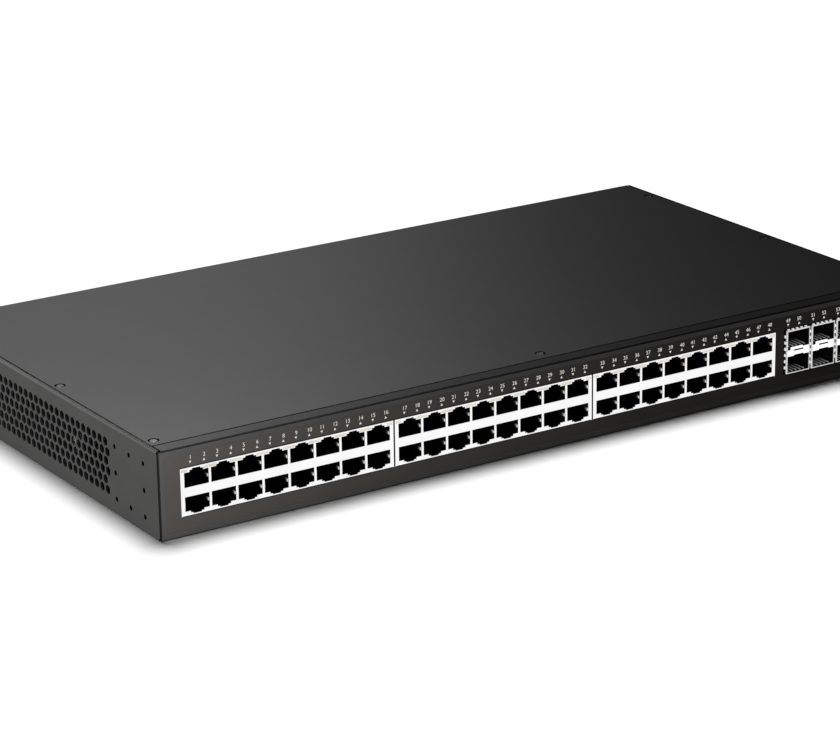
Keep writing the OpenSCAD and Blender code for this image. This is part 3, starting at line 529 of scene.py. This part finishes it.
cover_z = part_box("top_cover")[1].z
screw_places = [(side * COVER_SCREW_X, row) for side in (-1, 1) for row in COVER_SCREW_ROWS]
screw_places.append((0, MIDDLE_SCREW_ROW))
heads, shade_rings = bmesh.new(), bmesh.new()
for x, row in screw_places:
    def place(u, v, w):
        return x + u, face_y + row + v, cover_z + w
    lathe(heads, head_outline, place, 64)
    lathe(shade_rings, lambda angle: [(radius * MM, height * MM) for radius, height in SHADE_RING_LINE], place, 48)
head_piece = mesh_object("cover_screw_heads", heads)
piece(head_piece, "screw_black", "screw_head")
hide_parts("cover_screws")
# A black cone in each countersink stands for the shade round the head: painted shade
piece(mesh_object("cover_screw_shade_rings", shade_rings), "screw_black", "black_plastic")


# ---- Floor, world, lights and camera ----

def aimed(obj, place, target):
    obj.location = place
    obj.rotation_mode = "QUATERNION"
    obj.rotation_quaternion = (Vector(target) - Vector(place)).to_track_quat("-Z", "Y")


def area_light(name, place, target, size, power):
    data = bpy.data.lights.new(name, "AREA")
    data.shape = "RECTANGLE"
    data.size, data.size_y = size
    data.energy = power
    obj = bpy.data.objects.new(name, data)
    bpy.context.scene.collection.objects.link(obj)
    aimed(obj, place, target)
    obj.visible_camera = False
    return obj


def collection_of(name, objects):
    made = bpy.data.collections.new(name)
    for obj in objects:
        made.objects.link(obj)
    return made


def even_light(name, from_direction, angle, strength):
    data = bpy.data.lights.new(name, "SUN")
    data.energy = strength
    data.angle = angle
    obj = bpy.data.objects.new(name, data)
    bpy.context.scene.collection.objects.link(obj)
    aimed(obj, from_direction, (0, 0, 0))
    return obj


FLOOR_SIDE = 40.0
FLOOR_DROP = 0.05 * MM
floor_bm = bmesh.new()
bmesh.ops.create_grid(floor_bm, x_segments=8, y_segments=8, size=FLOOR_SIDE / 2)
floor = mesh_object("floor", floor_bm)
floor.location.z = -FLOOR_DROP
floor_finish = finish_material("floor", (0.92, 0.92, 0.92), (0.85, 0.95), grain=300,
                               bump=0.01 * MM, dark=0.995)
floor.data.materials.append(floor_finish)

PAINTED = ("case_paint", "wall_paint_shaded_front", "strip_paint_shaded_seam", "cover_paint_shaded_seam", "face_paint_shaded_edge", "overlay_film",
           "screw_black", "screw_head", "zinc")
BRIGHT = ("shield_steel_shaded", "spring_steel_shaded", "collar_steel_shaded", "cage_steel_shaded", "runner_steel_shaded", "divider_white_shaded",
          "print_white", "light_pipe")


def with_finish(finishes):
    """Every piece whose finish is one of these."""
    wanted = [MATERIALS[finish] for finish in finishes]
    return [o for o in bpy.context.scene.objects if o.type == "MESH" and o.data.materials[0] in wanted]


def nodes_named(*names):
    return [frame["nodes"][name] for name in names]


# Each light falls on one group of parts only
left_wall, front_frame = nodes_named("left_side_wall", "front_frame")
painted = with_finish(PAINTED)
lit = {name: collection_of("lit_" + name, members) for name, members in {
    "painted": painted,
    "bright": with_finish(BRIGHT),
    "behind_seam": [o for o in painted if o is not front_frame],
    "face_and_cover": [o for o in painted if o not in (left_wall, front_frame)],
    "strip": [front_frame],
    "wall": [left_wall],
    "right": nodes_named("right_side_wall", "fan_frame_1", "fan_frame_2", "fan_rotor_1", "fan_rotor_2",
                         "fan_screws"),
    "rear": nodes_named("chassis_base", "power_inlet", "inlet_pins", "inlet_screws", "ground_screw"),
    "floor": [floor],
}.items()}
for name, settings, group in (("key", KEY, "face_and_cover"), ("rear_panel", REAR_PANEL, "behind_seam"),
                              ("top_panel", TOP_PANEL, "painted"), ("strip_panel", STRIP_PANEL, "strip"),
                              ("strip_rear", STRIP_REAR, "strip"), ("wall_panel", WALL_PANEL, "wall"),
                              ("bend_panel", BEND_PANEL, "wall"), ("rear_fill", REAR_FILL, "rear"),
                              ("right_fill", RIGHT_FILL, "right")):
    light = area_light(name, *settings)
    light.light_linking.receiver_collection = lit[group]
    light.visible_glossy = name != "wall_panel"
even_light("floor_light", *FLOOR_LIGHT).light_linking.receiver_collection = lit["floor"]
even_light("front_light", *FRONT_LIGHT).light_linking.receiver_collection = lit["bright"]

# The floor throws back less light on to the object than the white that the camera sees
FLOOR_THROW = 0.18
tree = floor_finish.node_tree
camera_ray = add(tree, "ShaderNodeLightPath").outputs["Is Camera Ray"]
shader = next(n for n in tree.nodes if n.type == "BSDF_PRINCIPLED")
white = shader.inputs["Base Color"].links[0].from_socket
thrown = (FLOOR_THROW,) * 3 + (1.0,)
mixed = add(tree, "ShaderNodeMix", {"Factor": camera_ray, "A": thrown, "B": white}, data_type="RGBA")
tree.links.new(mixed.outputs["Result"], shader.inputs["Base Color"])

world = bpy.data.worlds.new("studio")
world.use_nodes = True
tree = world.node_tree
tree.nodes.clear()
seen = add(tree, "ShaderNodeBackground", {"Color": (1, 1, 1, 1), "Strength": 1.0}).outputs["Background"]
glow = add(tree, "ShaderNodeBackground", {"Color": (1, 1, 1, 1), "Strength": GLOW}).outputs["Background"]
camera_ray = add(tree, "ShaderNodeLightPath").outputs["Is Camera Ray"]
mixed = add(tree, "ShaderNodeMixShader", {0: camera_ray, 1: glow, 2: seen})
add(tree, "ShaderNodeOutputWorld", {"Surface": mixed.outputs["Shader"]})
bpy.context.scene.world = world
bpy.context.scene.view_settings.view_transform = "Standard"

camera_data = bpy.data.cameras.new("camera")
camera_data.lens = CAMERA_LENS
camera_data.sensor_width = SENSOR_WIDTH
camera_data.clip_start, camera_data.clip_end = 0.05, 100
camera = bpy.data.objects.new("camera", camera_data)
bpy.context.scene.collection.objects.link(camera)
back = Vector((math.sin(CAMERA_AZIMUTH) * math.cos(CAMERA_ELEVATION),
               -math.cos(CAMERA_AZIMUTH) * math.cos(CAMERA_ELEVATION), math.sin(CAMERA_ELEVATION)))
level = Vector((math.cos(CAMERA_AZIMUTH), math.sin(CAMERA_AZIMUTH), 0))
upright = back.cross(level)
right = level * math.cos(CAMERA_ROLL) + upright * math.sin(CAMERA_ROLL)
camera.matrix_world = (Matrix.Translation(CAMERA_AIM + back * CAMERA_DISTANCE)
                       @ Matrix((right, back.cross(right), back)).transposed().to_4x4())
bpy.context.scene.camera = camera
